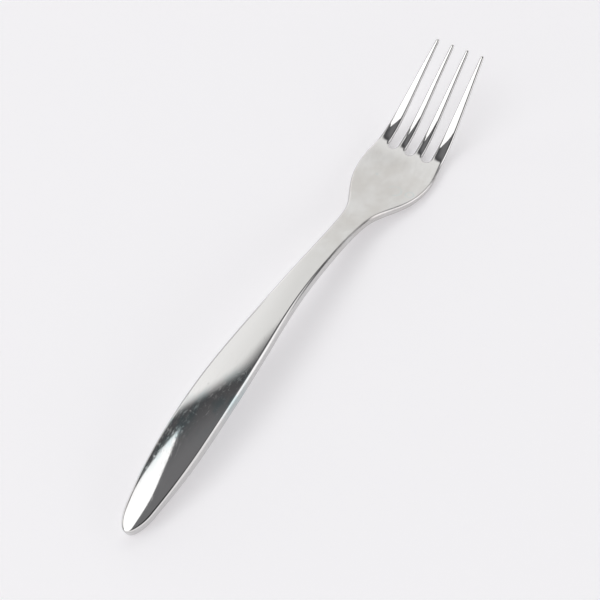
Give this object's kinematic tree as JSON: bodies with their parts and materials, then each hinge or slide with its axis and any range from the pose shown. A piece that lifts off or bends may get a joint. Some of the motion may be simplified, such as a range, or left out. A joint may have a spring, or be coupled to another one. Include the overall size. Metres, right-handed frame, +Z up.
{
  "type": "dinner fork",
  "caption": "Stainless steel dinner fork with an arched teardrop handle, a slim neck, a shallow dished palm and tapering tines with round tips.",
  "frame": {"origin": "on the table that the fork lies on, under the middle of its whole length and width", "axes": "+X runs from the handle end to the tine tips, +Y across, to the left when the tines point away, and +Z up, with the tines curving up"},
  "size_m": [0.2006, 0.026, 0.0243],
  "materials": {
    "stainless_steel": "polished, with a satin palm and fine scratches of use"
  },
  "bodies": {
    "root": {"fork": "stainless_steel"}
  },
  "joints": []
}
